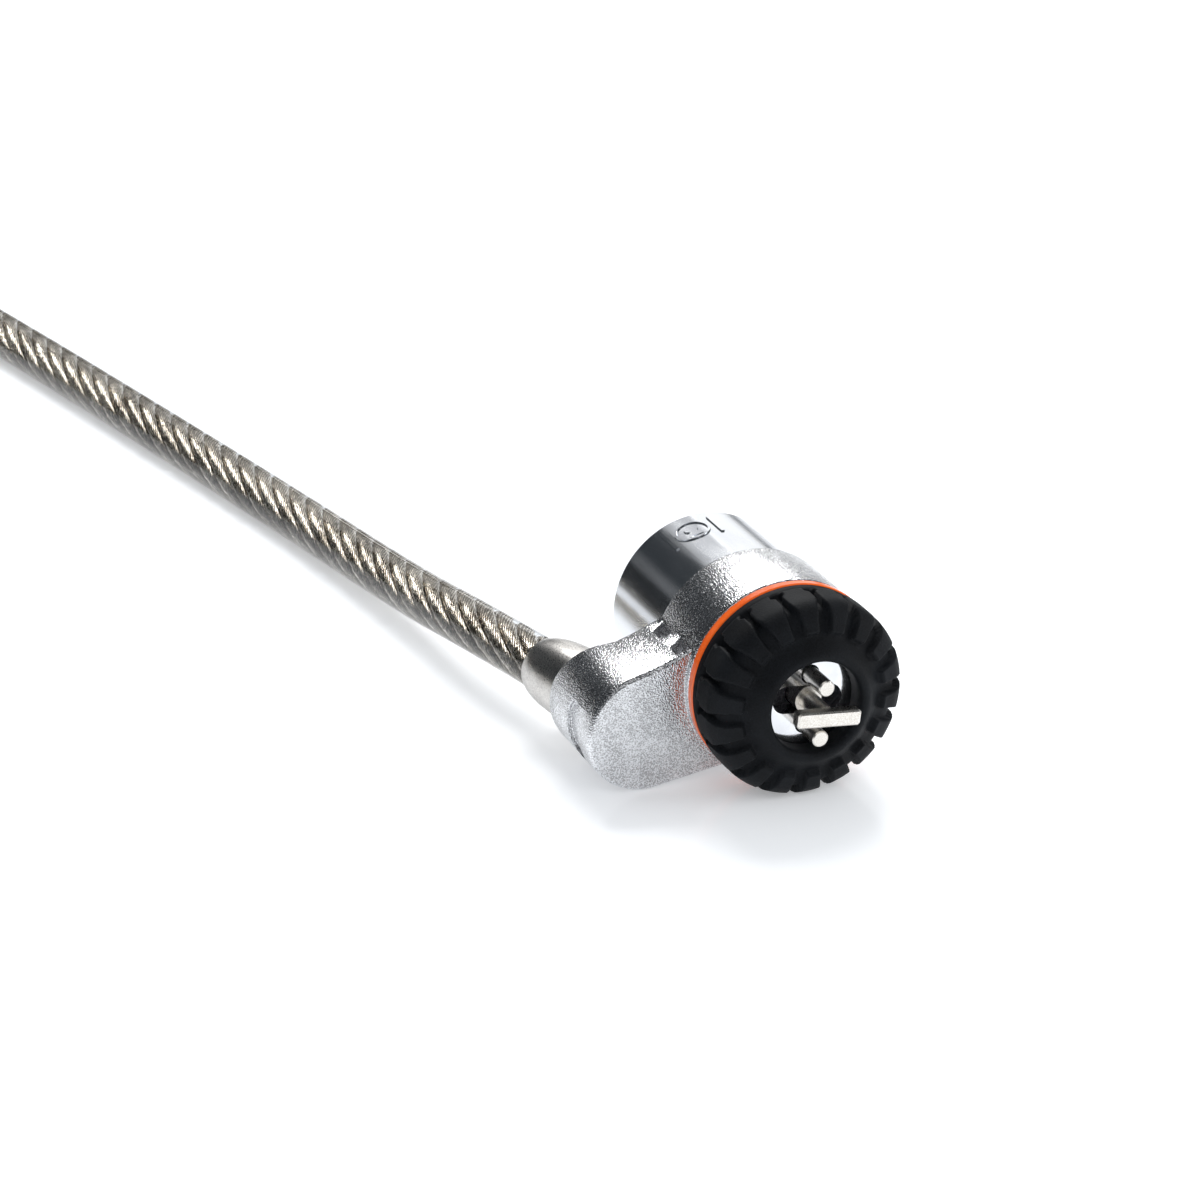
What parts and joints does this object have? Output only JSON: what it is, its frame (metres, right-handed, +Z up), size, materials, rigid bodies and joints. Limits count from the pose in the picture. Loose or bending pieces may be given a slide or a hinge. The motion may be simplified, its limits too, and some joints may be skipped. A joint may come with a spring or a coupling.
{
  "type": "laptop cable lock",
  "caption": "Cylindrical lock head with a T-bar nose for a security slot, a swivel arm, and a sheathed steel cable that ends in an anchor loop.",
  "frame": {"origin": "on the lock's axis, in the plane of the rubber nose that meets the laptop", "axes": "-Y out of the nose into the security slot, +Z up, the arm and cable on the -X side"},
  "size_m": [0.153, 0.2231, 0.0206],
  "materials": {
    "rubber": "matte moulded rubber",
    "band_orange": "glossy orange",
    "plate_nickel": "bright plated",
    "hardened_steel": "ground",
    "pin_nickel": "fine brushed nickel",
    "barrel_chrome": "polished",
    "brass": "turned",
    "spring_steel": "bright",
    "satin_zinc": "bead-blasted satin plating",
    "acetal": "natural",
    "ferrule_steel": "satin",
    "cable_sheath": "clear sheath over steel strands"
  },
  "bodies": {
    "cable": {"cable_tube": "cable_sheath", "cable_coil": "cable_sheath", "anchor_loop": "cable_sheath", "loop_crimp": "ferrule_steel", "cable_ferrule": "ferrule_steel"},
    "arm": {"arm_casting": "satin_zinc", "swivel_bush": "acetal", "ferrule_bush": "ferrule_steel", "ferrule_retainer": "satin_zinc"},
    "head": {"bumper": "rubber", "band": "band_orange", "face_plate": "plate_nickel", "pin_carrier": "hardened_steel", "lock_pins": "pin_nickel", "barrel": "barrel_chrome", "friction_washer": "hardened_steel", "plug_sleeve": "brass", "back_cap": "barrel_chrome", "cap_clip": "spring_steel", "spindle_spring": "spring_steel"},
    "core": {"plug": "brass", "tumbler_discs": "brass", "disc_spacers": "spring_steel", "sidebar": "hardened_steel", "key_disc": "hardened_steel", "drive_disc": "hardened_steel", "t_spindle": "pin_nickel"}
  },
  "joints": [
    {"name": "cable_swivel", "type": "hinge", "parent": "cable", "child": "arm", "pos_m": [-0.0143, 0.0145, -0.00405], "axis": [-0.2419, 0.9703, 0], "continuous": true},
    {"name": "head_swivel", "type": "hinge", "parent": "arm", "child": "head", "pos_m": [0, 0.0128, 0], "axis": [0, 1, 0], "continuous": true},
    {"name": "key_turn", "type": "hinge", "parent": "head", "child": "core", "pos_m": [0, 0.018, 0], "axis": [0, -1, 0], "range_deg": [0, 90]}
  ]
}
